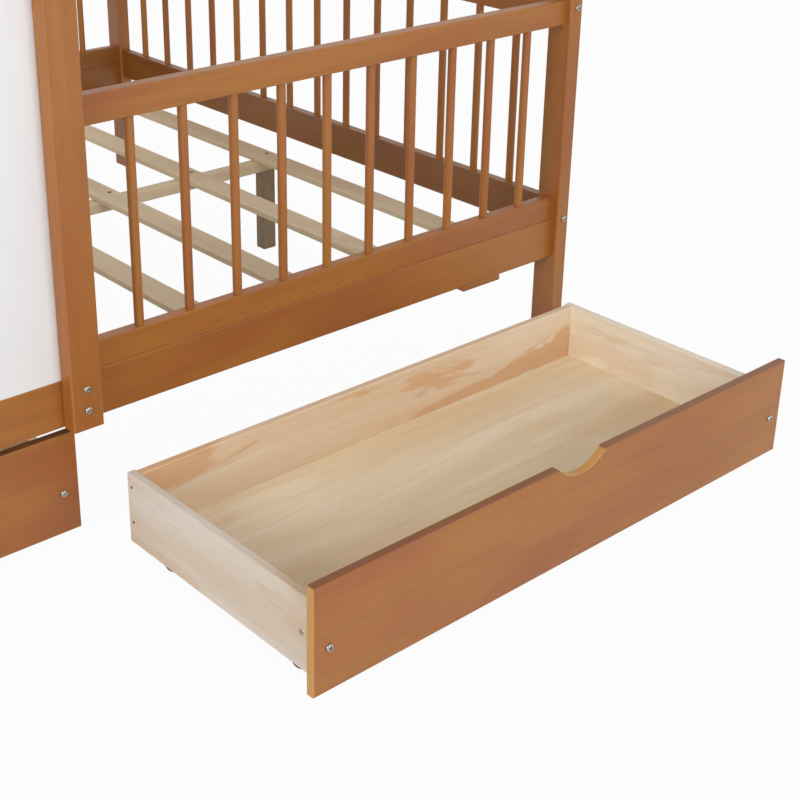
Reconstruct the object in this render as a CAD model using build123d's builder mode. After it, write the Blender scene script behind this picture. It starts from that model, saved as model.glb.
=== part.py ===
from build123d import *
import math
import os

# House bed with a spindle fence, a writing board, a slatted deck and two roll-out drawers.
# Millimetres. +X runs along the bed, +Y runs from its open front to its back, +Z is up.
# The origin is on the floor, in the middle of the foot of the centre leg.

# Overall frame
bed_length = 1994.0
bed_depth = 1457.5
post_thick = 29.0
post_deep = 49.0
post_height = 1400.0
post_round = 3.0
beam_behind_middle = 32.25

# Side rails and the fence that stands on them
rail_setback = 14.0
rail_thick = 19.0
rail_bottom = 188.0
side_rail_height = 72.0
fence_rail_height = 42.0
fence_top_bottom = 608.5
fence_top_height = 41.0
fence_top_proud = 3.0
edge_round = 2.0

# Middle post, planted on the face of the front side rail
middle_post_width = 48.0
middle_post_deep = 28.0
middle_post_above_rail_foot = 1.0

# End frames
end_rail_inset = 3.0
end_lower_bottom = 228.0
end_lower_height = 66.5
end_upper_bottom = 606.0
end_upper_height = 61.0

# Spindles
spindle_diameter = 14.0
spindle_tenon = 10.0
fence_spindle_count = 10
fence_first_gap = 88.0
fence_last_gap = 79.3
end_spindle_count = 14
end_spindle_gap = 86.3
back_spindle_count = 21

# Slatted deck: its ledgers hang a little below the side rails
ledger_deep = 25.0
ledger_height = 17.0
ledger_below_rail = 8.0
slat_width = 50.0
slat_thick = 11.0
slat_end_gap = 1.0
slats_per_half = 5
first_slat_x = 127.1
last_slat_inset = 66.5
beam_deep = 28.0
beam_height = 21.4
beam_end_gap = 42.0
leg_width = 32.0
leg_deep = 28.0
end_leg_inset = 21.0

# Blocks under the front side rail
block_inset = 170.0
block_length = 86.0
block_deep = 23.0
block_height = 10.0

# Writing board on the left half of the front
board_height = 640.0
board_thick = 9.0
board_rail_height = 42.0

# Roof
roof_angle = 35.0
eave_rail_height = 42.0
ridge_width = 29.0
ridge_height = 44.0
ridge_cover = 1.847
long_arris_count = 4

# Bolts of the frame
bolt_head_diameter = 11.0
bolt_head_height = 3.4
bolt_head_taper = 28.0
bolt_diameter = 6.0
bolt_clearance = 0.4
bolt_in_rail = 22.0
bolt_tip_gap = 2.0
middle_bolt_spacing = 32.0
middle_bolt_rise = 10.0
middle_bolt_in_rail = 12.0
rail_bolt_spacing = 36.0

# Drawers
drawer_gap = 8.0
drawer_end_gap = 13.5
drawer_travel = 514.0
drawer_closed_setback = 7.0
drawer_front_thick = 12.7
drawer_front_overhang = 8.1
drawer_block_gap = 3.7
drawer_box_inset = 18.0
drawer_box_depth = 412.0
drawer_box_below_front = 37.9
drawer_board = 13.0
drawer_back_recess = 2.6
drawer_bottom_thick = 5.0
drawer_bottom_rise = 12.6
drawer_bottom_groove = 5.0
groove_gap = 0.5
cutout_width = 96.0
cutout_depth = 22.0
cutout_round = 7.0
drawer_bolt_rise = 64.0
drawer_bolt_in_side = 21.3
barrel_nut_diameter = 9.0
barrel_nut_length = 11.0
barrel_nut_back = 32.0
screw_head_diameter = 5.0
screw_head_height = 3.0
screw_diameter = 3.0
screw_in_back = 19.0
screw_inset = 20.5
screw_spacing = 56.0

# Casters
wheel_diameter = 30.0
wheel_width = 12.0
wheel_round = 2.0
wheel_hub_diameter = 12.0
wheel_dish = 1.5
wheel_room = 6.5
axle_diameter = 5.0
axle_clearance = 0.05
axle_head = 1.0
fork_gap = 1.0
fork_thick = 1.5
fork_base_length = 38.0
fork_axle_round = 7.0
caster_plate_margin = 1.5
caster_side_gap = 0.6
caster_inset = 65.0

os.makedirs("parts", exist_ok=True)

# Places worked out from the driving sizes
post_face_x = bed_length / 2 - post_thick
bed_middle_y = -beam_behind_middle
front_y = bed_middle_y - bed_depth / 2
back_y = bed_middle_y + bed_depth / 2
front_rail_y = front_y + rail_setback
back_rail_y = back_y - rail_setback - rail_thick
side_rail_top = rail_bottom + side_rail_height
fence_bottom_top = side_rail_top + fence_rail_height
fence_top_top = fence_top_bottom + fence_top_height
deck_bottom = rail_bottom - ledger_below_rail + ledger_height
leg_height = deck_bottom - beam_height
slat_pitch = (post_face_x - last_slat_inset - first_slat_x) / (slats_per_half - 1)
beam_length = 2 * (post_face_x - beam_end_gap)
end_leg_x = beam_length / 2 - end_leg_inset
block_x = post_face_x - block_inset
board_top = side_rail_top + board_height
end_rail_x = bed_length / 2 - end_rail_inset - rail_thick / 2
end_rail_low_y = front_y + post_deep
end_rail_high_y = back_y - post_deep
pitch_of_roof = math.radians(roof_angle)
post_mitre_drop = post_deep * (1 - math.sin(pitch_of_roof)) / math.cos(pitch_of_roof)
apex_z = post_height + (bed_depth / 2) * math.tan(pitch_of_roof)
apex_under_z = apex_z - post_deep / math.cos(pitch_of_roof)
ridge_top = apex_z - ridge_width / 2 * math.tan(pitch_of_roof) - ridge_cover

# Both drawers: width from the bed's, heights from the wheels up to the blocks under the rail
drawer_width = post_face_x - drawer_gap / 2 - drawer_end_gap
drawer_bottom_z = wheel_diameter + wheel_room + fork_thick
drawer_box_bottom = drawer_bottom_z - drawer_bottom_rise
drawer_front_bottom = drawer_box_bottom - drawer_front_overhang
drawer_front_top = rail_bottom - block_height - drawer_block_gap
drawer_box_top = drawer_front_top - drawer_box_below_front
drawer_bolt_length = drawer_front_thick + drawer_bolt_in_side
cheek_inner = wheel_width / 2 + fork_gap
caster_plate_width = 2 * (cheek_inner + fork_thick + caster_plate_margin)

bolt_hole_diameter = bolt_diameter + bolt_clearance
middle_bolt_length = middle_post_deep + middle_bolt_in_rail
screw_length = drawer_board + screw_in_back


def save(piece, node):
    piece.part.label = node
    export_step(piece.part, "parts/" + node + ".step")


def timber_along_x(low, high, y_low, z_low, deep, tall):
    """A rail along X with eased long edges."""
    with BuildSketch(Plane.YZ.offset(low)) as section:
        with Locations((y_low + deep / 2, z_low + tall / 2)):
            RectangleRounded(deep, tall, edge_round)
    extrude(section.sketch, amount=high - low)


def timber_along_y(low, high, x_low, z_low, wide, tall):
    """A rail along Y with eased long edges."""
    with BuildSketch(Plane.XZ.offset(-low)) as section:
        with Locations((x_low + wide / 2, z_low + tall / 2)):
            RectangleRounded(wide, tall, edge_round)
    extrude(section.sketch, amount=low - high)


def post_section(x_middle, y_middle, wide, deep, low, high):
    """A post along Z with rounded arrises."""
    with BuildSketch(Plane.XY.offset(low)) as section:
        with Locations((x_middle, y_middle)):
            RectangleRounded(wide, deep, post_round)
    extrude(section.sketch, amount=high - low)


def cut_cylinders(planes, diameter, depth):
    """Blind holes whose mouths are on the given planes, along the planes' normals."""
    with Locations(*planes):
        Cylinder(diameter / 2, depth, align=(Align.CENTER, Align.CENTER, Align.MIN), mode=Mode.SUBTRACT)


# Bolts: each plane is the seat of a head, and its normal points into the wood
along_y_bolt = post_deep + bolt_in_rail
along_x_bolt = post_thick + bolt_in_rail
front_timber_y = front_rail_y + rail_thick / 2
back_timber_y = back_rail_y + rail_thick / 2
end_bolt_heights = [end_lower_bottom + end_lower_height / 2, end_upper_bottom + end_upper_height / 2]
rail_bolt_middle = rail_bottom + side_rail_height / 2
rail_bolt_heights = [rail_bolt_middle - rail_bolt_spacing / 2, rail_bolt_middle + rail_bolt_spacing / 2]
fence_bolt_z = fence_top_bottom + fence_top_height / 2
board_rail_bolt_z = board_top + board_rail_height / 2
eave_bolt_z = post_height - post_mitre_drop - eave_rail_height / 2
ridge_bolt_z = ridge_top - ridge_height / 2

long_bolts = []
for side in (-1, 1):
    for height in end_bolt_heights:
        long_bolts.append(Plane((side * end_rail_x, front_y, height), x_dir=(1, 0, 0), z_dir=(0, 1, 0)))
        long_bolts.append(Plane((side * end_rail_x, back_y, height), x_dir=(1, 0, 0), z_dir=(0, -1, 0)))

short_bolts = []
for side in (-1, 1):
    into_wood = (-side, 0, 0)
    outer_x = side * bed_length / 2
    front_heights = rail_bolt_heights + [eave_bolt_z, fence_bolt_z if side > 0 else board_rail_bolt_z]
    back_heights = rail_bolt_heights + [eave_bolt_z, fence_bolt_z]
    for height in front_heights:
        short_bolts.append(Plane((outer_x, front_timber_y, height), x_dir=(0, 1, 0), z_dir=into_wood))
    for height in back_heights:
        short_bolts.append(Plane((outer_x, back_timber_y, height), x_dir=(0, 1, 0), z_dir=into_wood))
    for offset_y in (-ridge_width / 4, ridge_width / 4):
        seat = (outer_x, bed_middle_y + offset_y, ridge_bolt_z)
        short_bolts.append(Plane(seat, x_dir=(0, 1, 0), z_dir=into_wood))

middle_bolts = []
middle_pair_z = rail_bolt_middle + middle_bolt_rise
middle_pair_half = middle_bolt_spacing / 2
for height in (middle_pair_z - middle_pair_half, middle_pair_z + middle_pair_half, eave_bolt_z):
    seat = (0, front_rail_y - middle_post_deep, height)
    middle_bolts.append(Plane(seat, x_dir=(1, 0, 0), z_dir=(0, 1, 0)))


def drill_for_bolts():
    """Clear the shank of every bolt that reaches the piece being made."""
    cut_cylinders(long_bolts, bolt_hole_diameter, along_y_bolt + bolt_tip_gap)
    cut_cylinders(short_bolts, bolt_hole_diameter, along_x_bolt + bolt_tip_gap)
    cut_cylinders(middle_bolts, bolt_hole_diameter, middle_bolt_length + bolt_tip_gap)


def bolt_set(planes, shank_length):
    """Button heads on their seats, each with its shank."""
    for seat in planes:
        with Locations(seat):
            Cylinder(bolt_diameter / 2, shank_length, align=(Align.CENTER, Align.CENTER, Align.MIN))
        with BuildSketch(Plane(seat.origin, x_dir=seat.x_dir, z_dir=-seat.z_dir)) as head:
            Circle(bolt_head_diameter / 2)
        extrude(head.sketch, amount=bolt_head_height, taper=bolt_head_taper)


# Corner posts: mitred at the top for the rafters
for side_name, side in (("left", -1), ("right", 1)):
    for face_name, outer_y, inward in (("front", front_y, 1), ("back", back_y, -1)):
        with BuildPart() as corner_post:
            post_middle_x = side * (post_face_x + post_thick / 2)
            post_middle_y = outer_y + inward * post_deep / 2
            post_section(post_middle_x, post_middle_y, post_thick, post_deep, 0, post_height)
            with BuildSketch(Plane.YZ.offset(post_middle_x - post_thick)) as mitre:
                with BuildLine():
                    Polyline(
                        (outer_y, post_height),
                        (outer_y + inward * post_deep, post_height - post_mitre_drop),
                        (outer_y + inward * post_deep, post_height + post_deep),
                        (outer_y, post_height + post_deep),
                        close=True,
                    )
                make_face()
            extrude(mitre.sketch, amount=2 * post_thick, mode=Mode.SUBTRACT)
            drill_for_bolts()
        save(corner_post, side_name + "_" + face_name + "_post")

# Middle post of the front
with BuildPart() as middle_post:
    post_section(
        0,
        front_rail_y - middle_post_deep / 2,
        middle_post_width,
        middle_post_deep,
        rail_bottom + middle_post_above_rail_foot,
        post_height - post_mitre_drop,
    )
    drill_for_bolts()
save(middle_post, "front_middle_post")

# Side rails
for face_name, rail_y in (("front", front_rail_y), ("back", back_rail_y)):
    with BuildPart() as side_rail:
        timber_along_x(-post_face_x, post_face_x, rail_y, rail_bottom, rail_thick, side_rail_height)
        drill_for_bolts()
    save(side_rail, face_name + "_side_rail")

# Fence on the right half of the front
fence_first_x = middle_post_width / 2 + fence_first_gap
fence_pitch = (post_face_x - fence_last_gap - fence_first_x) / (fence_spindle_count - 1)
fence_xs = [fence_first_x + n * fence_pitch for n in range(fence_spindle_count)]
back_pitch = 2 * post_face_x / (back_spindle_count + 1)
back_xs = [-post_face_x + back_pitch * (n + 1) for n in range(back_spindle_count)]


def mortises(points, z_mouth, upwards):
    """Round sockets that take the ends of the spindles."""
    direction = 1 if upwards else -1
    planes = [Plane((x, y, z_mouth), x_dir=(1, 0, 0), z_dir=(0, 0, direction)) for x, y in points]
    cut_cylinders(planes, spindle_diameter, spindle_tenon)


def spindle_row(points, low, high):
    """Turned rods, each let into the rails at both ends."""
    with BuildSketch(Plane.XY.offset(low - spindle_tenon)) as rods:
        with Locations(*points):
            Circle(spindle_diameter / 2)
    extrude(rods.sketch, amount=high - low + 2 * spindle_tenon)


front_points = [(x, front_timber_y) for x in fence_xs]
back_points = [(x, back_timber_y) for x in back_xs]

with BuildPart() as front_fence_lower:
    timber_along_x(0, post_face_x, front_rail_y, side_rail_top, rail_thick, fence_rail_height)
    mortises(front_points, fence_bottom_top, False)
save(front_fence_lower, "front_fence_lower_rail")

with BuildPart() as front_fence_upper:
    timber_along_x(
        0,
        post_face_x,
        front_rail_y - fence_top_proud,
        fence_top_bottom,
        rail_thick + fence_top_proud,
        fence_top_height,
    )
    # Housing that lets the rail pass behind the middle post
    with BuildSketch(Plane.XY.offset(fence_top_bottom)) as housing:
        with Locations((0, front_rail_y - fence_top_proud)):
            Rectangle(middle_post_width, 2 * fence_top_proud)
    extrude(housing.sketch, amount=fence_top_height, mode=Mode.SUBTRACT)
    mortises(front_points, fence_top_bottom, True)
    drill_for_bolts()
save(front_fence_upper, "front_fence_upper_rail")

with BuildPart() as front_fence_spindles:
    spindle_row(front_points, fence_bottom_top, fence_top_bottom)
save(front_fence_spindles, "front_fence_spindles")

# Fence along the whole back
with BuildPart() as back_fence_lower:
    timber_along_x(-post_face_x, post_face_x, back_rail_y, side_rail_top, rail_thick, fence_rail_height)
    mortises(back_points, fence_bottom_top, False)
save(back_fence_lower, "back_fence_lower_rail")

with BuildPart() as back_fence_upper:
    timber_along_x(-post_face_x, post_face_x, back_rail_y, fence_top_bottom, rail_thick, fence_top_height)
    mortises(back_points, fence_top_bottom, True)
    drill_for_bolts()
save(back_fence_upper, "back_fence_upper_rail")

with BuildPart() as back_fence_spindles:
    spindle_row(back_points, fence_bottom_top, fence_top_bottom)
save(back_fence_spindles, "back_fence_spindles")

# End frames
end_pitch = (end_rail_high_y - end_rail_low_y - 2 * end_spindle_gap) / (end_spindle_count - 1)
end_ys = [end_rail_low_y + end_spindle_gap + n * end_pitch for n in range(end_spindle_count)]
for side_name, side in (("left", -1), ("right", 1)):
    rail_x = side * end_rail_x
    end_points = [(rail_x, y) for y in end_ys]
    rail_low_x = rail_x - rail_thick / 2
    end_lower_top = end_lower_bottom + end_lower_height

    with BuildPart() as end_lower:
        timber_along_y(
            end_rail_low_y, end_rail_high_y, rail_low_x, end_lower_bottom, rail_thick, end_lower_height
        )
        mortises(end_points, end_lower_top, False)
        drill_for_bolts()
    save(end_lower, side_name + "_end_lower_rail")

    with BuildPart() as end_upper:
        timber_along_y(
            end_rail_low_y, end_rail_high_y, rail_low_x, end_upper_bottom, rail_thick, end_upper_height
        )
        mortises(end_points, end_upper_bottom, True)
        drill_for_bolts()
    save(end_upper, side_name + "_end_upper_rail")

    with BuildPart() as end_spindles:
        spindle_row(end_points, end_lower_top, end_upper_bottom)
    save(end_spindles, side_name + "_end_spindles")

# Ledgers on the inner faces of the side rails
front_ledger_y = front_rail_y + rail_thick
back_ledger_y = back_rail_y - ledger_deep
for face_name, ledger_y in (("front", front_ledger_y), ("back", back_ledger_y)):
    with BuildPart() as ledger:
        timber_along_x(
            -post_face_x, post_face_x, ledger_y, deck_bottom - ledger_height, ledger_deep, ledger_height
        )
    save(ledger, face_name + "_slat_ledger")

# Slats, in two halves
slat_low_y = front_rail_y + rail_thick + slat_end_gap
slat_high_y = back_rail_y - slat_end_gap
for side_name, side in (("left", -1), ("right", 1)):
    with BuildPart() as slats:
        for n in range(slats_per_half):
            slat_x = side * (first_slat_x + n * slat_pitch)
            timber_along_y(
                slat_low_y, slat_high_y, slat_x - slat_width / 2, deck_bottom, slat_width, slat_thick
            )
    save(slats, side_name + "_slats")

# Centre beam and its three legs
with BuildPart() as centre_beam:
    timber_along_x(-beam_length / 2, beam_length / 2, -beam_deep / 2, leg_height, beam_deep, beam_height)
save(centre_beam, "centre_beam")

for leg_name, leg_x in (("left_leg", -end_leg_x), ("centre_leg", 0), ("right_leg", end_leg_x)):
    with BuildPart() as leg:
        post_section(leg_x, 0, leg_width, leg_deep, 0, leg_height)
    save(leg, leg_name)

# Blocks under the front side rail, one over each drawer, cut round the ledger
with BuildPart() as rail_blocks:
    for side in (-1, 1):
        timber_along_x(
            side * block_x - block_length / 2,
            side * block_x + block_length / 2,
            front_rail_y,
            rail_bottom - block_height,
            block_deep,
            block_height,
        )
    with BuildSketch(Plane.YZ.offset(-post_face_x)) as ledger_room:
        with Locations((front_ledger_y, deck_bottom - ledger_height)):
            Rectangle(ledger_deep, ledger_height, align=(Align.MIN, Align.MIN))
    extrude(ledger_room.sketch, amount=2 * post_face_x, mode=Mode.SUBTRACT)
save(rail_blocks, "rail_blocks")

# Writing board and the rail on top of it
with BuildPart() as writing_board:
    with BuildSketch(Plane.XZ.offset(-front_rail_y)) as sheet:
        with Locations((-post_face_x / 2, side_rail_top + board_height / 2)):
            Rectangle(post_face_x, board_height)
    extrude(sheet.sketch, amount=-board_thick)
save(writing_board, "writing_board")

with BuildPart() as board_rail:
    timber_along_x(-post_face_x, 0, front_rail_y, board_top, rail_thick, board_rail_height)
    drill_for_bolts()
save(board_rail, "board_top_rail")

# Roof: eave rails, mitred rafters and the ridge
for face_name, rail_y in (("front", front_rail_y), ("back", back_rail_y)):
    with BuildPart() as eave_rail:
        eave_low = eave_bolt_z - eave_rail_height / 2
        timber_along_x(-post_face_x, post_face_x, rail_y, eave_low, rail_thick, eave_rail_height)
        drill_for_bolts()
    save(eave_rail, face_name + "_eave_rail")

for side_name, side in (("left", -1), ("right", 1)):
    for face_name, outer_y, inward in (("front", front_y, 1), ("back", back_y, -1)):
        with BuildPart() as rafter:
            with BuildSketch(Plane.YZ.offset(side * (post_face_x + post_thick / 2))) as outline:
                with BuildLine():
                    Polyline(
                        (outer_y, post_height),
                        (bed_middle_y, apex_z),
                        (bed_middle_y, apex_under_z),
                        (outer_y + inward * post_deep, post_height - post_mitre_drop),
                        close=True,
                    )
                make_face()
            extrude(outline.sketch, amount=post_thick / 2, both=True)
            # The long arrises are those that don't cross the rafter, and the end cuts are left sharp
            by_length = rafter.edges().filter_by(Axis.X, reverse=True).sort_by(SortBy.LENGTH)
            fillet(by_length[-long_arris_count:], post_round)
            drill_for_bolts()
        save(rafter, side_name + "_" + face_name + "_rafter")

with BuildPart() as ridge:
    timber_along_x(
        -post_face_x,
        post_face_x,
        bed_middle_y - ridge_width / 2,
        ridge_top - ridge_height,
        ridge_width,
        ridge_height,
    )
    drill_for_bolts()
save(ridge, "ridge_beam")

with BuildPart() as frame_bolts:
    bolt_set(long_bolts, along_y_bolt)
    bolt_set(short_bolts, along_x_bolt)
    bolt_set(middle_bolts, middle_bolt_length)
save(frame_bolts, "frame_bolts")


def make_drawer(drawer, low_x, front_face_y):
    """One roll-out drawer, whose front panel starts at low_x with its face at front_face_y."""
    high_x = low_x + drawer_width
    box_low_x = low_x + drawer_box_inset
    box_high_x = high_x - drawer_box_inset
    box_front_y = front_face_y + drawer_front_thick
    box_back_y = box_front_y + drawer_box_depth
    middle_x = (low_x + high_x) / 2
    bolt_z = drawer_front_bottom + drawer_bolt_rise
    box_height = drawer_box_top - drawer_box_bottom
    side_middles = (box_low_x + drawer_board / 2, box_high_x - drawer_board / 2)
    back_outer_y = box_back_y - drawer_back_recess
    back_middle_y = back_outer_y - drawer_board / 2
    back_inner_y = back_outer_y - drawer_board
    bottom_length = box_high_x - box_low_x - 2 * drawer_board + 2 * drawer_bottom_groove
    bottom_deep = back_inner_y - box_front_y + 2 * drawer_bottom_groove
    bottom_middle = (middle_x, (box_front_y + back_inner_y) / 2)
    screw_high_z = drawer_box_top - screw_inset

    front_bolts = [
        Plane((x, front_face_y, bolt_z), x_dir=(1, 0, 0), z_dir=(0, 1, 0)) for x in side_middles
    ]
    barrel_y = box_front_y + barrel_nut_back
    barrels = [
        Plane((box_low_x, barrel_y, bolt_z), x_dir=(0, 1, 0), z_dir=(1, 0, 0)),
        Plane((box_high_x, barrel_y, bolt_z), x_dir=(0, 1, 0), z_dir=(-1, 0, 0)),
    ]
    back_screws = []
    for height in (screw_high_z - screw_spacing, screw_high_z):
        back_screws.append(Plane((box_low_x, back_middle_y, height), x_dir=(0, 1, 0), z_dir=(1, 0, 0)))
        back_screws.append(Plane((box_high_x, back_middle_y, height), x_dir=(0, 1, 0), z_dir=(-1, 0, 0)))

    def groove_for_bottom():
        with BuildSketch(Plane.XY.offset(drawer_bottom_z - groove_gap / 2)) as room:
            with Locations(bottom_middle):
                Rectangle(bottom_length, bottom_deep)
        extrude(room.sketch, amount=drawer_bottom_thick + groove_gap, mode=Mode.SUBTRACT)

    # Front panel with its finger cut-out
    with BuildPart() as front:
        with BuildSketch(Plane.XZ.offset(-front_face_y)) as panel:
            with Locations((middle_x, drawer_front_bottom)):
                Rectangle(
                    drawer_width, drawer_front_top - drawer_front_bottom, align=(Align.CENTER, Align.MIN)
                )
            half = cutout_width / 2
            with BuildLine():
                scoop = ThreePointArc(
                    (middle_x - half, drawer_front_top),
                    (middle_x, drawer_front_top - cutout_depth),
                    (middle_x + half, drawer_front_top),
                )
                Line(scoop @ 1, scoop @ 0)
            make_face(mode=Mode.SUBTRACT)
            top_corners = panel.vertices().group_by(Axis.Y)[-1].sort_by(Axis.X)
            fillet(top_corners[1:-1], cutout_round)
        extrude(panel.sketch, amount=-drawer_front_thick)
        fillet(front.faces().sort_by(Axis.Y)[0].outer_wire().edges(), edge_round)
        groove_for_bottom()
        cut_cylinders(front_bolts, bolt_hole_diameter, drawer_bolt_length + bolt_tip_gap)
    save(front, drawer + "_drawer_front")

    # Sides
    for name, x in (("left_side", box_low_x), ("right_side", box_high_x - drawer_board)):
        with BuildPart() as side_board:
            timber_along_y(box_front_y, box_back_y, x, drawer_box_bottom, drawer_board, box_height)
            groove_for_bottom()
            cut_cylinders(front_bolts, bolt_hole_diameter, drawer_bolt_length + bolt_tip_gap)
            cut_cylinders(barrels, barrel_nut_diameter, barrel_nut_length)
            cut_cylinders(back_screws, screw_diameter, screw_length)
            cut_cylinders(back_screws, screw_head_diameter, screw_head_height)
        save(side_board, drawer + "_drawer_" + name)

    # Back, between the sides
    with BuildPart() as back_board:
        timber_along_x(
            box_low_x + drawer_board,
            box_high_x - drawer_board,
            back_inner_y,
            drawer_box_bottom,
            drawer_board,
            box_height,
        )
        groove_for_bottom()
        cut_cylinders(back_screws, screw_diameter, screw_length)
    save(back_board, drawer + "_drawer_back")

    # Bottom sheet, let into grooves on all four sides
    with BuildPart() as bottom:
        with BuildSketch(Plane.XY.offset(drawer_bottom_z)) as sheet_outline:
            with Locations(bottom_middle):
                Rectangle(bottom_length - groove_gap, bottom_deep - groove_gap)
        extrude(sheet_outline.sketch, amount=drawer_bottom_thick)
    save(bottom, drawer + "_drawer_bottom")

    # Bolts of the front, the barrel nuts behind them, and the screws of the back
    from_mouth = (Align.CENTER, Align.CENTER, Align.MIN)
    with BuildPart() as fasteners:
        bolt_set(front_bolts, drawer_bolt_length)
        with Locations(*barrels):
            Cylinder(barrel_nut_diameter / 2, barrel_nut_length, align=from_mouth)
        with Locations(*back_screws):
            Cylinder(screw_diameter / 2, screw_length, align=from_mouth)
            Cylinder(screw_head_diameter / 2, screw_head_height, align=from_mouth)
    save(fasteners, drawer + "_drawer_fasteners")

    # Casters: a folded fork with its riveted axle on the underside of the bottom sheet
    caster_x_inset = drawer_board + caster_side_gap + caster_plate_width / 2
    caster_xs = (box_low_x + caster_x_inset, box_high_x - caster_x_inset)
    caster_ys = (box_front_y + caster_inset, box_back_y - caster_inset)
    wheel_radius = wheel_diameter / 2
    with BuildPart() as casters:
        for x in caster_xs:
            for y in caster_ys:
                with BuildSketch(Plane.XY.offset(drawer_bottom_z - fork_thick)) as plate:
                    with Locations((x, y)):
                        RectangleRounded(caster_plate_width, fork_base_length, edge_round)
                extrude(plate.sketch, amount=fork_thick)
                for cheek_low_x in (x - cheek_inner - fork_thick, x + cheek_inner):
                    with BuildSketch(Plane.YZ.offset(cheek_low_x)) as cheek:
                        with Locations((y, wheel_radius)):
                            Circle(fork_axle_round)
                        with Locations((y, drawer_bottom_z - fork_thick / 2)):
                            Rectangle(fork_base_length - 2 * edge_round, fork_thick)
                        make_hull()
                    extrude(cheek.sketch, amount=fork_thick)
                axle_reach = cheek_inner + fork_thick + axle_head
                with BuildSketch(Plane.YZ.offset(x - axle_reach)) as axle:
                    with Locations((y, wheel_radius)):
                        Circle(axle_diameter / 2)
                extrude(axle.sketch, amount=2 * axle_reach)
    save(casters, drawer + "_drawer_casters")

    # Wheels: turned on the axle with running clearance
    wheel_count = 0
    for x in caster_xs:
        for y in caster_ys:
            wheel_count += 1
            with BuildPart() as wheel:
                with BuildSketch(Plane.XY) as half_section:
                    with BuildLine():
                        Polyline(
                            (axle_diameter / 2 + axle_clearance, -wheel_width / 2),
                            (wheel_hub_diameter / 2, -wheel_width / 2),
                            (wheel_hub_diameter / 2 + wheel_dish, wheel_dish - wheel_width / 2),
                            (wheel_radius - 2 * wheel_round, wheel_dish - wheel_width / 2),
                            (wheel_radius - wheel_round, -wheel_width / 2),
                            (wheel_radius, wheel_round - wheel_width / 2),
                            (wheel_radius, wheel_width / 2 - wheel_round),
                            (wheel_radius - wheel_round, wheel_width / 2),
                            (wheel_radius - 2 * wheel_round, wheel_width / 2 - wheel_dish),
                            (wheel_hub_diameter / 2 + wheel_dish, wheel_width / 2 - wheel_dish),
                            (wheel_hub_diameter / 2, wheel_width / 2),
                            (axle_diameter / 2 + axle_clearance, wheel_width / 2),
                            close=True,
                        )
                    make_face()
                turned = revolve(half_section.sketch, axis=Axis.Y, mode=Mode.PRIVATE)
                add(turned.rotate(Axis.Z, 90).translate((x, y, wheel_radius)))
            save(wheel, drawer + "_drawer_wheel_" + str(wheel_count))


# The right drawer stands pulled out, and the left one is closed
closed_face_y = front_rail_y + drawer_closed_setback
make_drawer("right", drawer_gap / 2, closed_face_y - drawer_travel)
make_drawer("left", -drawer_gap / 2 - drawer_width, closed_face_y)
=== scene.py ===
import math

import bmesh
import bpy
from mathutils import Matrix, Vector


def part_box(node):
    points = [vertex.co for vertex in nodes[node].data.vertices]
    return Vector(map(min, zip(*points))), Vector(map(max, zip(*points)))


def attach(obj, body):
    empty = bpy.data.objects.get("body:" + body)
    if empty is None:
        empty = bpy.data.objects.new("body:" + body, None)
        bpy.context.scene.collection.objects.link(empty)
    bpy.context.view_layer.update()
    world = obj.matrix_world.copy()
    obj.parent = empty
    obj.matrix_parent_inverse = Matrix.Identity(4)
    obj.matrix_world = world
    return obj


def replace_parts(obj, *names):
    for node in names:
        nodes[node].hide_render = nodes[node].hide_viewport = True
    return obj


# House bed with a spindle fence, a writing board, a slatted deck and two roll-out drawers.
# Metres. +X runs along the bed, +Y from its open front to its back, +Z is up.
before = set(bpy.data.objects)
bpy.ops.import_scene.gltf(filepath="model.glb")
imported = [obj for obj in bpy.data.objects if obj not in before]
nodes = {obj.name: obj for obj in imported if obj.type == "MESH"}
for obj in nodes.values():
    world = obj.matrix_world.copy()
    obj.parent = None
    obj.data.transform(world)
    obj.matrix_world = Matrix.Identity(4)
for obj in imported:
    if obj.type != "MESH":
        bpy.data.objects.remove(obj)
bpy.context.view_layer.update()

# Camera: beyond the front left corner of the bed, looking down into the pulled-out drawer
camera_place = Vector((-0.9103, -2.3682, 1.1676))
camera_yaw = math.radians(48.394)
camera_pitch = math.radians(23.316)
camera_roll = math.radians(0.702)
camera_lens = 66.464
camera_shift = (0.0435, -0.13)
sensor_width = 36.0

# Lamps: place, width and power of each, all aimed at the middle of the bed
lamp_aim = (0.0, -0.3, 0.4)
lamps = {
    "left": ((-3.2, -1.6, 1.5), 2.0, 72.0),
    "front": ((0.3, -4.4, 1.7), 2.4, 74.0),
    "top": ((0.0, -0.6, 4.3), 3.0, 20.0),
    "right": ((3.8, -2.0, 2.2), 3.0, 22.0),
    "rear": ((0.5, 4.2, 2.6), 3.0, 55.0),
}

# Backdrop: what the world gives as light and as seen, and the share of plain white in the floor
world_light = 0.3
world_seen = 0.98
floor_glow = 0.95
floor_half = 40.0
floor_gap = 0.0005
floor_grey = (0.8, 0.8, 0.8, 1.0)
floor_roughness = 0.9
plain_white = (1.0, 1.0, 1.0, 1.0)

# Tints of each family of wood; the low rails round the deck are darker, as painted shade
stain_tint = (0.66, 0.60, 0.28)
low_rails = ("back_side_rail", "back_fence_lower_rail", "left_end_lower_rail", "right_end_lower_rail")
low_rail_painted_shade = 0.72
slat_tint = (1.45, 1.48, 1.36)
board_tint = (0.92, 0.92, 0.92)
roof_slope = math.radians(35.0)

# Reading the CAD solids: points closer than weld_gap are one, and a level holds within level_gap
weld_gap = 1e-6
level_gap = 1e-5
fork_reach = 0.06
wheels_per_drawer = 4

# Turned pieces: a solid whose head is wider than least_bolt_head is a bolt, or a barrel nut
# when it is wider than least_nut_head, and a screw otherwise
least_bolt_head = 0.005
least_nut_head = 0.004
ring_points = 36
dome_steps = 6
sharp_angle = math.radians(35.0)

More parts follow.
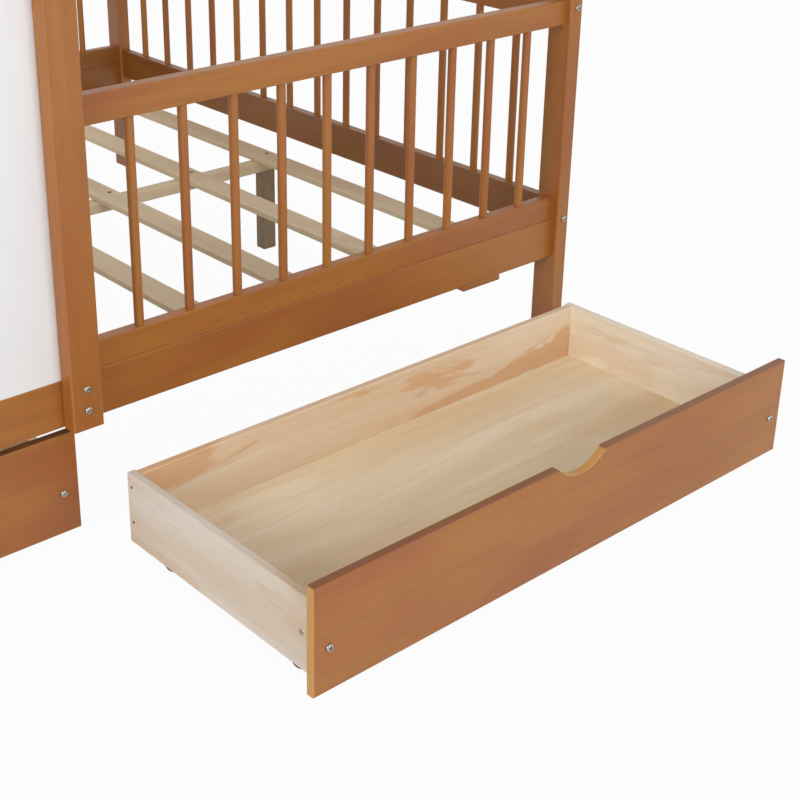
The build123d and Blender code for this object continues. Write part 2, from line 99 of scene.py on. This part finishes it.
# Button heads
socket_across_flats = 0.0040
socket_depth = 0.0022
socket_lip = 0.0002
socket_mouth_share = 1.3
head_rim = 0.0008
head_seat_share = 0.97
head_ease_share = 0.3
shank_tip_share = 0.8
shank_tip_length_share = 0.3

# Flush heads, their recesses, slat screws and axle rivets
flush_tip_share = 0.9
slot_half_length = 0.0034
slot_half_width = 0.0006
slot_depth = 0.0012
cross_arm = 0.0016
cross_half_width = 0.0004
cross_depth = 0.0009
recess_floor_share = 0.7
face_chamfer = 0.0004
slat_screw_radius = 0.0042
slat_screw_rise = 0.0004
slat_screw_flat_share = 0.92
slat_screw_mouth_share = 0.75
slat_screw_ease_height = 0.5 * slat_screw_rise
slat_screw_mouth_height = 0.8 * slat_screw_rise
slat_screw_floor_height = 0.2 * slat_screw_rise
slat_screw_off_centre = 0.0086
slat_screw_end_inset = 0.012
rivet_radius = 0.0033
rivet_rise = 0.0008
rivet_proud = 0.0002


def colour(red, green, blue, tint=(1.0, 1.0, 1.0)):
    """A colour written as it looks on a screen, from 0 to 255, times a tint."""
    channels = []
    for value, factor in zip((red, green, blue), tint):
        share = value / 255
        linear = share / 12.92 if share <= 0.04045 else ((share + 0.055) / 1.055) ** 2.4
        channels.append(min(1.0, linear * factor))
    return (*channels, 1.0)


class Surface:
    """A node material that short calls build up."""

    def __init__(self, name, roughness=0.5, metallic=0.0, coat=0.0, coat_roughness=0.3):
        self.material = bpy.data.materials.new(name)
        self.material.use_nodes = True
        self.tree = self.material.node_tree
        self.shader = self.tree.nodes["Principled BSDF"]
        self.shader.inputs["Roughness"].default_value = roughness
        self.shader.inputs["Metallic"].default_value = metallic
        self.shader.inputs["Coat Weight"].default_value = coat
        self.shader.inputs["Coat Roughness"].default_value = coat_roughness
        self.place = self.tree.nodes.new("ShaderNodeTexCoord").outputs["Object"]
        self.normal = self.tree.nodes.new("ShaderNodeNewGeometry").outputs["Normal"]

    def feed(self, socket, value):
        """Links a node's output to an input, or sets the input to a constant."""
        if isinstance(value, bpy.types.NodeSocket):
            self.tree.links.new(value, socket)
        else:
            socket.default_value = value

    def node(self, kind, settings=None, order=(), **inputs):
        """A node with its settings, whose inputs are fed by name or in order."""
        made = self.tree.nodes.new(kind)
        for name, value in (settings or {}).items():
            setattr(made, name, value)
        for number, value in enumerate(order):
            self.feed(made.inputs[number], value)
        for name, value in inputs.items():
            self.feed(made.inputs[name], value)
        return made

    def stretched(self, place, scale):
        """Coordinates multiplied by a scale along each axis."""
        return self.node("ShaderNodeVectorMath", {"operation": "MULTIPLY"}, (place, scale)).outputs[0]

    def noise(self, place, scale, detail=3.0, rough=0.5, distortion=0.0):
        """Soft noise, from 0 to 1, with so many features a metre along each axis."""
        made = self.node(
            "ShaderNodeTexNoise", Vector=self.stretched(place, scale), Scale=1.0, Detail=detail,
            Roughness=rough, Distortion=distortion,
        )
        return made.outputs["Fac"]

    def maths(self, operation, first, second=0.0):
        """One sum on two values."""
        return self.node("ShaderNodeMath", {"operation": operation}, (first, second)).outputs[0]

    def between(self, value, low, high, to_low=0.0, to_high=1.0):
        """A value taken smoothly from one range to another, and held at its ends."""
        settings = {"interpolation_type": "SMOOTHSTEP"}
        order = (value, low, high, to_low, to_high)
        return self.node("ShaderNodeMapRange", settings, order).outputs[0]

    def mix(self, share, first, second):
        """A share of the second colour over the first."""
        made = self.node("ShaderNodeMix", {"data_type": "RGBA"})
        for number, value in zip((0, 6, 7), (share, first, second)):
            self.feed(made.inputs[number], value)
        return made.outputs[2]

    def facing(self, axis):
        """How squarely a face looks along one axis, either way, from 0 to 1."""
        parts = self.node("ShaderNodeSeparateXYZ", order=(self.normal,))
        return self.maths("ABSOLUTE", parts.outputs["XYZ".index(axis)])

    def edges(self, radius, strength):
        """A strength on the arrises, within a radius, and 0 on the flats."""
        rounded = self.node("ShaderNodeBevel", {"samples": 4}, Radius=radius).outputs[0]
        along = self.node("ShaderNodeVectorMath", {"operation": "DOT_PRODUCT"}, (rounded, self.normal))
        return self.between(along.outputs["Value"], 0.995, 0.80, 0.0, strength)

    def finish(self, base, bump, distance, roughness):
        """Links colour, roughness and relief to the shader."""
        self.feed(self.shader.inputs["Base Color"], base)
        self.feed(self.shader.inputs["Roughness"], roughness)
        relief = self.node("ShaderNodeBump", Strength=0.6, Distance=distance, Height=bump)
        self.feed(self.shader.inputs["Normal"], relief.outputs[0])
        return self.material


def along_grain(grain, along, across):
    """Scales of a texture: so many features a metre along the grain and across it."""
    return tuple(along if axis == grain else across for axis in "xyz")


def wood_place(surface, seed, slope=0.0):
    """Coordinates moved by a board's own offset, and turned for a sloping board."""
    offset = (0.37 * seed, 0.61 * seed, 0.83 * seed)
    turn = (slope, 0.0, 0.0)
    moved = surface.node("ShaderNodeMapping", Vector=surface.place, Location=offset, Rotation=turn)
    return moved.outputs[0]


def stained_wood(name, grain, seed, slope=0.0, top=None, shade=1.0):
    """Warm brown satin stain that lets the grain show faintly, paler on the arrises from rubbed wear and a
    painted highlight.

    A panel that is cut to shape gives the height of its top edge: that edge gets painted shade,
    and the cut ends and the finger cut-out get painted light. A shade under 1 darkens the whole piece as
    painted shade.
    """
    tint = tuple(shade * part for part in stain_tint)
    surface = Surface(name, coat=0.12, coat_roughness=0.35)
    place = wood_place(surface, seed, slope)
    cloud = surface.noise(place, along_grain(grain, 2.2, 9.0), detail=2.0, distortion=0.4)
    figure = surface.noise(place, along_grain(grain, 4.0, 70.0), detail=4.0, distortion=0.8)
    fibre = surface.noise(place, along_grain(grain, 18.0, 650.0), detail=3.0, rough=0.6)
    amber, russet = colour(192, 127, 66, tint), colour(180, 108, 60, tint)
    base = surface.mix(surface.between(cloud, 0.35, 0.65), amber, russet)
    base = surface.mix(surface.between(figure, 0.45, 0.75, 0.0, 0.28), base, colour(150, 90, 48, tint))
    base = surface.mix(surface.between(fibre, 0.5, 0.75, 0.0, 0.2), base, colour(118, 66, 32, tint))
    if top is not None:
        height = surface.node("ShaderNodeSeparateXYZ", order=(surface.place,)).outputs[2]
        crown = surface.between(height, top - 0.0030, top - 0.0015)
        upward = surface.between(surface.facing("Z"), 0.35, 0.7)
        sideways = surface.between(surface.facing("X"), 0.3, 0.6)
        # painted light: the cut ends and the faces of the finger cut-out are paler
        cut = surface.maths("MULTIPLY", surface.maths("SUBTRACT", 1.0, crown), upward)
        cut = surface.maths("MULTIPLY", surface.maths("MAXIMUM", cut, sideways), 0.6)
        # painted shade: the top face of the panel is darker
        dark = surface.maths("MULTIPLY", surface.maths("MULTIPLY", crown, upward), 0.6)
        base = surface.mix(cut, base, colour(236, 190, 130, tint))
        base = surface.mix(dark, base, colour(112, 62, 34, tint))
    # paler arrises: rubbed wear and a painted highlight
    base = surface.mix(surface.edges(0.0018, 0.55), base, colour(232, 176, 116, tint))
    return surface.finish(base, fibre, 0.00012, surface.between(fibre, 0.3, 0.7, 0.38, 0.5))


def pine(name, grain, seed, palette, tint, hearts=0.5, grey=0.0):
    """Bare pine: growth bands along the board, patches of heartwood, fine fibre, flecks and a rare knot."""
    surface = Surface(name)
    pale, warm, heart, dark = (colour(*shade, tint) for shade in palette)
    place = wood_place(surface, seed)
    wander = surface.noise(place, along_grain(grain, 1.6, 12.0), detail=2.0, distortion=0.3)
    bands = surface.noise(place, along_grain(grain, 1.4, 42.0), detail=4.0, rough=0.55, distortion=1.2)
    patch = surface.noise(place, along_grain(grain, 1.7, 6.5), detail=5.0, rough=0.55, distortion=0.7)
    fibre = surface.noise(place, along_grain(grain, 25.0, 900.0), detail=2.0, rough=0.6)
    fleck = surface.noise(place, along_grain(grain, 16.0, 210.0), detail=2.0, rough=0.6)
    base = surface.mix(surface.between(wander, 0.35, 0.65), pale, warm)
    base = surface.mix(surface.between(patch, 0.50, 0.54, 0.0, hearts), base, heart)
    base = surface.mix(surface.between(bands, 0.48, 0.72, 0.0, 0.3), base, heart)
    base = surface.mix(surface.between(fibre, 0.5, 0.8, 0.0, 0.16 + grey), base, dark)
    base = surface.mix(surface.between(fleck, 0.66, 0.76, 0.0, 0.3), base, dark)
    cells = surface.node(
        "ShaderNodeTexVoronoi", Vector=surface.stretched(place, along_grain(grain, 3.2, 8.5)), Scale=1.0
    )
    base = surface.mix(surface.between(cells.outputs["Distance"], 0.07, 0.02, 0.0, 0.3), base, dark)
    # paler arrises: edge wear and a painted highlight
    base = surface.mix(surface.edges(0.0018, 0.3), base, colour(238, 228, 208, tint))
    return surface.finish(base, fibre, 0.00015, surface.between(fibre, 0.3, 0.7, 0.55, 0.72))


def white_sheet():
    """Satin white writing board, very slightly uneven, a little worn at its edges."""
    surface = Surface("white_board", coat=0.2, coat_roughness=0.3)
    haze = surface.noise(surface.place, (3.0, 3.0, 2.0))
    speck = surface.noise(surface.place, (420.0, 420.0, 420.0), detail=2.0)
    first, second = colour(236, 236, 236, board_tint), colour(229, 230, 232, board_tint)
    base = surface.mix(surface.between(haze, 0.3, 0.7), first, second)
    base = surface.mix(surface.edges(0.0012, 0.4), base, colour(206, 200, 190, board_tint))
    return surface.finish(base, speck, 0.00004, surface.between(speck, 0.3, 0.7, 0.36, 0.46))


def cloudy(name, scales, shades, edge, relief, rough, metallic=0.0):
    """Metal or moulded plastic: two cloudy shades, a rubbed edge and a fine relief."""
    surface = Surface(name, metallic=metallic)
    cloud = surface.noise(surface.place, (scales[0],) * 3, detail=4.0)
    fine = surface.noise(surface.place, (scales[1], scales[1] / 4, scales[1]), detail=2.0)
    base = surface.mix(surface.between(cloud, 0.35, 0.65), colour(*shades[0]), colour(*shades[1]))
    base = surface.mix(surface.edges(edge, 0.5), base, colour(*shades[2]))
    return surface.finish(base, fine, relief, surface.between(fine, 0.3, 0.7, *rough))


def paint(node, material):
    """Gives a CAD node's object one material."""
    mesh = nodes[node].data
    mesh.materials.clear()
    mesh.materials.append(material)


# Palettes of bare pine: pale, warm, heartwood, and the dark of fibres and knots
drawer_palette = ((224, 213, 195), (214, 196, 170), (204, 166, 126), (158, 122, 86))
slat_palette = ((190, 172, 150), (178, 158, 134), (162, 138, 114), (120, 100, 80))
# The legs' palette is darker and greyer than the slats': painted shade from the deck above them
leg_palette_painted_shade = ((122, 104, 82), (106, 88, 68), (82, 66, 50), (58, 46, 36))

# Finish of every CAD node
stained_grain = {
    "x": [
        "front_side_rail", "back_side_rail", "front_fence_lower_rail", "front_fence_upper_rail",
        "back_fence_lower_rail", "back_fence_upper_rail", "rail_blocks", "board_top_rail",
        "front_eave_rail", "back_eave_rail", "ridge_beam", "right_drawer_front", "left_drawer_front",
    ],
    "y": ["left_end_lower_rail", "left_end_upper_rail", "right_end_lower_rail", "right_end_upper_rail"],
    "z": [
        "left_front_post", "left_back_post", "right_front_post", "right_back_post", "front_middle_post",
        "front_fence_spindles", "back_fence_spindles", "left_end_spindles", "right_end_spindles",
    ],
}
seed = 0
for grain, names in stained_grain.items():
    for name in names:
        seed += 1
        top_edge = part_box(name)[1][2] if name.endswith("drawer_front") else None
        # the low rails round the deck take painted shade
        shade = low_rail_painted_shade if name in low_rails else 1.0
        paint(name, stained_wood(name + "_stain", grain, seed, top=top_edge, shade=shade))

for side in ("left", "right"):
    for face, slope in (("front", -roof_slope), ("back", roof_slope)):
        seed += 1
        name = side + "_" + face + "_rafter"
        paint(name, stained_wood(name + "_stain", "y", seed, slope))

steel = cloudy(
    "zinc_steel", (300.0, 2600.0), ((176, 174, 168), (142, 140, 136), (226, 224, 218)),
    0.0003, 0.00002, (0.2, 0.36), metallic=1.0,
)
fork_steel = cloudy(
    "fork_steel", (90.0, 1500.0), ((134, 136, 140), (104, 106, 110), (180, 182, 186)),
    0.0004, 0.00002, (0.34, 0.52), metallic=0.85,
)
wheel_plastic = cloudy(
    "wheel_plastic", (240.0, 900.0), ((66, 67, 70), (92, 92, 94), (126, 126, 128)),
    0.0005, 0.00005, (0.42, 0.6),
)
# dark metal of the sunk screws; on the slats its dark heads also paint the shade of the countersunk holes
dark_metal_and_painted_hole_shade = cloudy(
    "dark_metal_and_painted_hole_shade", (400.0, 2200.0), ((70, 62, 54), (48, 42, 36), (96, 86, 74)),
    0.0003, 0.00002, (0.45, 0.65), metallic=0.5,
)

# Each drawer board gets its own tint: partly its own tone, partly painted light and shade for how its face
# is lit
drawer_boards = {
    "left_side": ("y", 0.4, (0.84, 0.86, 0.92)),
    "right_side": ("y", 0.3, (1.14, 1.16, 1.16)),
    "back": ("x", 0.85, (1.05, 0.98, 0.92)),
    "bottom": ("x", 0.15, (1.12, 1.10, 1.0)),
}
for drawer in ("right", "left"):
    for piece, (grain, hearts, tint) in drawer_boards.items():
        seed += 1
        name = drawer + "_drawer_" + piece
        paint(name, pine(name + "_pine", grain, seed, drawer_palette, tint, hearts))
    paint(drawer + "_drawer_casters", fork_steel)
    for number in range(1, wheels_per_drawer + 1):
        paint(drawer + "_drawer_wheel_" + str(number), wheel_plastic)

for name, grain in (
    ("left_slats", "y"), ("right_slats", "y"), ("centre_beam", "x"),
    ("front_slat_ledger", "x"), ("back_slat_ledger", "x"),
):
    seed += 1
    paint(name, pine(name + "_pine", grain, seed, slat_palette, slat_tint, hearts=0.3))
# legs: a darker palette and more dark fibre, as painted shade
for name in ("left_leg", "centre_leg", "right_leg"):
    seed += 1
    paint(name, pine(name + "_pine", "z", seed, leg_palette_painted_shade, slat_tint, hearts=0.4, grey=0.3))
paint("writing_board", white_sheet())


def box_of(points):
    """Lowest and highest corner of some points."""
    low = Vector([min(point[axis] for point in points) for axis in range(3)])
    high = Vector([max(point[axis] for point in points) for axis in range(3)])
    return low, high


def islands(node):
    """The separate solids of a CAD node, each as its list of points."""
    work = bmesh.new()
    work.from_mesh(nodes[node].data)
    bmesh.ops.remove_doubles(work, verts=work.verts, dist=weld_gap)
    work.verts.ensure_lookup_table()
    seen, found = set(), []
    for start in work.verts:
        if start in seen:
            continue
        seen.add(start)
        group, waiting = [], [start]
        while waiting:
            vertex = waiting.pop()
            group.append(vertex.co.copy())
            for edge in vertex.link_edges:
                other = edge.other_vert(vertex)
                if other not in seen:
                    seen.add(other)
                    waiting.append(other)
        found.append(group)
    work.free()
    return found


def facing(place, axis, outward):
    """A matrix at a place, whose Z points out along one of the frame's axes."""
    direction = Vector((0, 0, 0))
    direction[axis] = outward
    turn = direction.to_track_quat("Z", "Y").to_matrix().to_4x4()
    return Matrix.Translation(place) @ turn


class Pin:
    """Where a turned CAD fastener lies: its axis, its ends and its widths."""

    def __init__(self, points):
        self.points = points
        self.low, self.high = box_of(points)
        self.middle = (self.low + self.high) / 2
        sizes = self.high - self.low
        self.axis = max(range(3), key=lambda n: sizes[n])
        wide_low, wide_high = self.radius_at(self.low), self.radius_at(self.high)
        self.turn_out(1 if wide_high > wide_low else -1)
        self.tip_radius = min(wide_low, wide_high)
        self.head_radius = max(self.off_axis(point) for point in points)
        on_rim = self.head_radius - level_gap
        rim = [point[self.axis] for point in points if self.off_axis(point) > on_rim]
        self.seat = sum(rim) / len(rim)

    def turn_out(self, outward):
        """Says which end looks out of the wood."""
        self.outward = outward
        tip, crown = (self.low, self.high) if outward > 0 else (self.high, self.low)
        self.tip, self.crown = tip[self.axis], crown[self.axis]

    def off_axis(self, point):
        """A point's distance from the axis."""
        across = point - self.middle
        across[self.axis] = 0
        return across.length

    def radius_at(self, corner):
        """The widest radius at one end."""
        level = corner[self.axis]
        near = [point for point in self.points if abs(point[self.axis] - level) < level_gap]
        return max(self.off_axis(point) for point in near)

    def matrix(self, height):
        """A place on the axis, with Z looking out of the wood."""
        place = self.middle.copy()
        place[self.axis] = height
        return facing(place, self.axis, self.outward)


def ring_of(radius_at_turn, height):
    """A ring of points at a height, whose radius changes with the turn."""
    ring = []
    for n in range(ring_points):
        turn = 2 * math.pi * n / ring_points
        radius = radius_at_turn(turn)
        ring.append((radius * math.cos(turn), radius * math.sin(turn), height))
    return ring


def circle(radius, height):
    """A round ring."""
    return ring_of(lambda turn: radius, height)


def hexagon(across_flats, height):
    """A ring whose points lie on a hexagon."""
    half_side = math.pi / 6
    return ring_of(
        lambda turn: across_flats / 2 / math.cos((turn + half_side) % (2 * half_side) - half_side), height
    )


def slot_radius(turn, half_length, half_width):
    """How far a straight slot reaches in a direction."""
    along, across = abs(math.cos(turn)), abs(math.sin(turn))
    return min(half_length / max(along, weld_gap), half_width / max(across, weld_gap))


def slot(half_length, half_width, height):
    """A ring whose points lie on a straight screwdriver slot."""
    return ring_of(lambda turn: slot_radius(turn, half_length, half_width), height)


def cross(arm, half_width, height):
    """A ring whose points lie on a cross with equal arms."""
    quarter = math.pi / 2
    return ring_of(
        lambda turn: max(slot_radius(turn + side * quarter, arm, half_width) for side in (0, 1)), height
    )


def skin(work, rings, matrix):
    """Joins a stack of rings into a closed turned solid."""
    made = [[work.verts.new(matrix @ Vector(point)) for point in ring] for ring in rings]
    for lower, upper in zip(made, made[1:]):
        for n in range(ring_points):
            after = (n + 1) % ring_points
            work.faces.new((lower[n], lower[after], upper[after], upper[n]))
    work.faces.new(list(reversed(made[0])))
    work.faces.new(made[-1])


def button_bolt(work, pin):
    """A button-head bolt with a hexagon socket."""
    height = abs(pin.crown - pin.seat)
    length = abs(pin.seat - pin.tip)
    socket_radius = socket_across_flats / 2 * socket_mouth_share
    rings = [
        circle(pin.tip_radius * shank_tip_share, -length),
        circle(pin.tip_radius, -length + pin.tip_radius * shank_tip_length_share),
        circle(pin.tip_radius, 0.0),
        circle(pin.head_radius * head_seat_share, 0.0),
        circle(pin.head_radius, head_rim * head_ease_share),
        circle(pin.head_radius, head_rim),
    ]
    for step in range(1, dome_steps + 1):
        turn = math.pi / 2 * step / dome_steps
        radius = socket_radius + (pin.head_radius - socket_radius) * math.cos(turn)
        rings.append(circle(radius, head_rim + (height - head_rim) * math.sin(turn)))
    rings.append(hexagon(socket_across_flats, height - socket_lip))
    rings.append(hexagon(socket_across_flats, height - socket_depth))
    skin(work, rings, pin.matrix(pin.seat))


def flush_pin(work, pin, recess_mouth, recess_floor):
    """A pin whose outer face is flush with the wood and has a recess."""
    length = abs(pin.crown - pin.tip)
    head_depth = abs(pin.crown - pin.seat)
    rings = [
        circle(pin.tip_radius * flush_tip_share, -length),
        circle(pin.tip_radius, -length + face_chamfer),
        circle(pin.tip_radius, -head_depth - face_chamfer),
        circle(pin.head_radius, -head_depth),
        circle(pin.head_radius, -face_chamfer),
        circle(pin.head_radius - face_chamfer, 0.0),
        recess_mouth,
        recess_floor,
    ]
    skin(work, rings, pin.matrix(pin.crown))


def screw_cross(mouth_height, floor_height):
    """The mouth and the floor of a cross recess."""
    return [
        cross(cross_arm, cross_half_width, mouth_height),
        cross(cross_arm * recess_floor_share, cross_half_width * recess_floor_share, floor_height),
    ]


def rivet(work, matrix):
    """A low dome over the end of an axle."""
    rings = [circle(rivet_radius, -rivet_rise)]
    for step in range(dome_steps):
        turn = math.pi / 2 * step / dome_steps
        height = rivet_proud - rivet_rise * (1 - math.sin(turn))
        rings.append(circle(rivet_radius * math.cos(turn), height))
    skin(work, rings, matrix)


def slat_screw(work, place):
    """A pan-head screw seated on a slat."""
    rings = [
        circle(slat_screw_radius, 0.0),
        circle(slat_screw_radius, slat_screw_ease_height),
        circle(slat_screw_radius * slat_screw_flat_share, slat_screw_rise),
        circle(slat_screw_radius * slat_screw_mouth_share, slat_screw_mouth_height),
    ]
    rings += screw_cross(slat_screw_mouth_height, slat_screw_floor_height)
    skin(work, rings, Matrix.Translation(place))


def piece_from(work, name, material, body):
    """Turns a finished bmesh into a piece that rides on a body."""
    bmesh.ops.recalc_face_normals(work, faces=work.faces)
    mesh = bpy.data.meshes.new(name)
    work.to_mesh(mesh)
    work.free()
    mesh.materials.append(material)
    mesh.shade_smooth()
    mesh.set_sharp_from_angle(angle=sharp_angle)
    piece = bpy.data.objects.new(name, mesh)
    bpy.context.scene.collection.objects.link(piece)
    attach(piece, body)
    return piece


# Bolts of the frame, with domed heads and hexagon sockets
frame_work = bmesh.new()
for points in islands("frame_bolts"):
    button_bolt(frame_work, Pin(points))
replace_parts(piece_from(frame_work, "frame_bolt_set", steel, "frame"), "frame_bolts")

# Bolts, barrel nuts and screws of the drawers, and the riveted ends of the axles
for drawer in ("right", "left"):
    body = drawer + "_drawer"
    front_low, front_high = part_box(body + "_front")
    drawer_middle_x = (front_low.x + front_high.x) / 2
    bright, sunk, rivets = bmesh.new(), bmesh.new(), bmesh.new()
    for points in islands(body + "_fasteners"):
        pin = Pin(points)
        if pin.head_radius > least_bolt_head:
            button_bolt(bright, pin)
        elif pin.head_radius > least_nut_head:
            pin.turn_out(1 if pin.middle.x > drawer_middle_x else -1)
            pin.seat = pin.crown
            recess_mouth = slot(slot_half_length, slot_half_width, 0.0)
            recess_floor = slot(slot_half_length, slot_half_width, -slot_depth)
            flush_pin(bright, pin, recess_mouth, recess_floor)
        else:
            flush_pin(sunk, pin, *screw_cross(0.0, -cross_depth))
    bolts = piece_from(bright, body + "_bolts_and_nuts", steel, body)
    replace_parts(bolts, body + "_fasteners")
    piece_from(sunk, body + "_back_screws", dark_metal_and_painted_hole_shade, body)
    forks = islands(body + "_casters")
    for number in range(1, wheels_per_drawer + 1):
        low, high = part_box(body + "_wheel_" + str(number))
        axle = (low + high) / 2
        own_fork = [points for points in forks if (box_of(points)[0] - axle).length < fork_reach][0]
        at_axle = [point.x for point in own_fork if abs(point.z - axle.z) < rivet_radius]
        for outer_x, outward in ((max(at_axle), 1), (min(at_axle), -1)):
            rivet(rivets, facing(Vector((outer_x, axle.y, axle.z)), 0, outward))
    piece_from(rivets, body + "_axle_rivets", fork_steel, body)

# Screws that hold the slats to the beam and the ledgers; their dark heads also stand in as painted shade of
# the countersunk holes
beam_low, beam_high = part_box("centre_beam")
beam_y = (beam_low.y + beam_high.y) / 2
slat_screws = bmesh.new()
for half in ("left_slats", "right_slats"):
    for points in islands(half):
        low, high = box_of(points)
        middle_x = (low.x + high.x) / 2
        slat_screw(slat_screws, (middle_x + slat_screw_off_centre, beam_y, high.z))
        slat_screw(slat_screws, (middle_x, low.y + slat_screw_end_inset, high.z))
        slat_screw(slat_screws, (middle_x, high.y - slat_screw_end_inset, high.z))
piece_from(slat_screws, "slat_screws", dark_metal_and_painted_hole_shade, "frame")


def when_seen(tree):
    """A value of 1 for camera, glossy and transmission rays, and 0 for light that falls on things."""
    path = tree.nodes.new("ShaderNodeLightPath")
    value = path.outputs["Is Camera Ray"]
    for name in ("Is Glossy Ray", "Is Transmission Ray"):
        either = tree.nodes.new("ShaderNodeMath")
        either.operation = "MAXIMUM"
        tree.links.new(value, either.inputs[0])
        tree.links.new(path.outputs[name], either.inputs[1])
        value = either.outputs[0]
    return value


# Floor: white, with a faint shadow of the object
floor_work = bmesh.new()
bmesh.ops.create_grid(floor_work, x_segments=1, y_segments=1, size=floor_half)
floor_mesh = bpy.data.meshes.new("floor")
floor_work.to_mesh(floor_mesh)
floor_work.free()
floor = bpy.data.objects.new("floor", floor_mesh)
bpy.context.scene.collection.objects.link(floor)
floor.location = (0, 0, -floor_gap)
floor_paint = bpy.data.materials.new("floor_white")
floor_paint.use_nodes = True
tree = floor_paint.node_tree
matt = tree.nodes["Principled BSDF"]
matt.inputs["Base Color"].default_value = floor_grey
matt.inputs["Roughness"].default_value = floor_roughness
glow = tree.nodes.new("ShaderNodeEmission")
glow.inputs["Color"].default_value = plain_white
share = tree.nodes.new("ShaderNodeMath")
share.operation = "MULTIPLY"
share.inputs[1].default_value = floor_glow
tree.links.new(when_seen(tree), share.inputs[0])
blended = tree.nodes.new("ShaderNodeMixShader")
tree.links.new(share.outputs[0], blended.inputs[0])
tree.links.new(matt.outputs[0], blended.inputs[1])
tree.links.new(glow.outputs[0], blended.inputs[2])
tree.links.new(blended.outputs[0], tree.nodes["Material Output"].inputs["Surface"])
floor_mesh.materials.append(floor_paint)

# World: even soft light, and white where the camera or a reflection sees it
world = bpy.data.worlds.new("studio")
bpy.context.scene.world = world
world.use_nodes = True
sky = world.node_tree
background = sky.nodes["Background"]
background.inputs["Color"].default_value = plain_white
strength = sky.nodes.new("ShaderNodeMapRange")
strength.inputs["To Min"].default_value = world_light
strength.inputs["To Max"].default_value = world_seen
sky.links.new(when_seen(sky), strength.inputs["Value"])
sky.links.new(strength.outputs[0], background.inputs["Strength"])

# Lamps
for name, (place, size, power) in lamps.items():
    light = bpy.data.lights.new(name, "AREA")
    light.size = size
    light.energy = power
    holder = bpy.data.objects.new(name, light)
    bpy.context.scene.collection.objects.link(holder)
    holder.location = place
    holder.rotation_mode = "QUATERNION"
    holder.rotation_quaternion = (Vector(lamp_aim) - Vector(place)).to_track_quat("-Z", "Y")

# Camera, from its place and its yaw, pitch and roll
forward = Vector((
    math.cos(camera_yaw) * math.cos(camera_pitch),
    math.sin(camera_yaw) * math.cos(camera_pitch),
    -math.sin(camera_pitch),
))
level_right = Vector((math.sin(camera_yaw), -math.cos(camera_yaw), 0.0))
level_up = level_right.cross(forward)
right = math.cos(camera_roll) * level_right + math.sin(camera_roll) * level_up
up = -math.sin(camera_roll) * level_right + math.cos(camera_roll) * level_up
camera_data = bpy.data.cameras.new("camera")
camera_data.sensor_width = sensor_width
camera_data.lens = camera_lens
camera_data.shift_x, camera_data.shift_y = camera_shift
camera = bpy.data.objects.new("camera", camera_data)
bpy.context.scene.collection.objects.link(camera)
camera_turn = Matrix((right, up, -forward)).transposed()
camera.matrix_world = Matrix.Translation(camera_place) @ camera_turn.to_4x4()
bpy.context.scene.camera = camera
bpy.context.scene.view_settings.view_transform = "Standard"
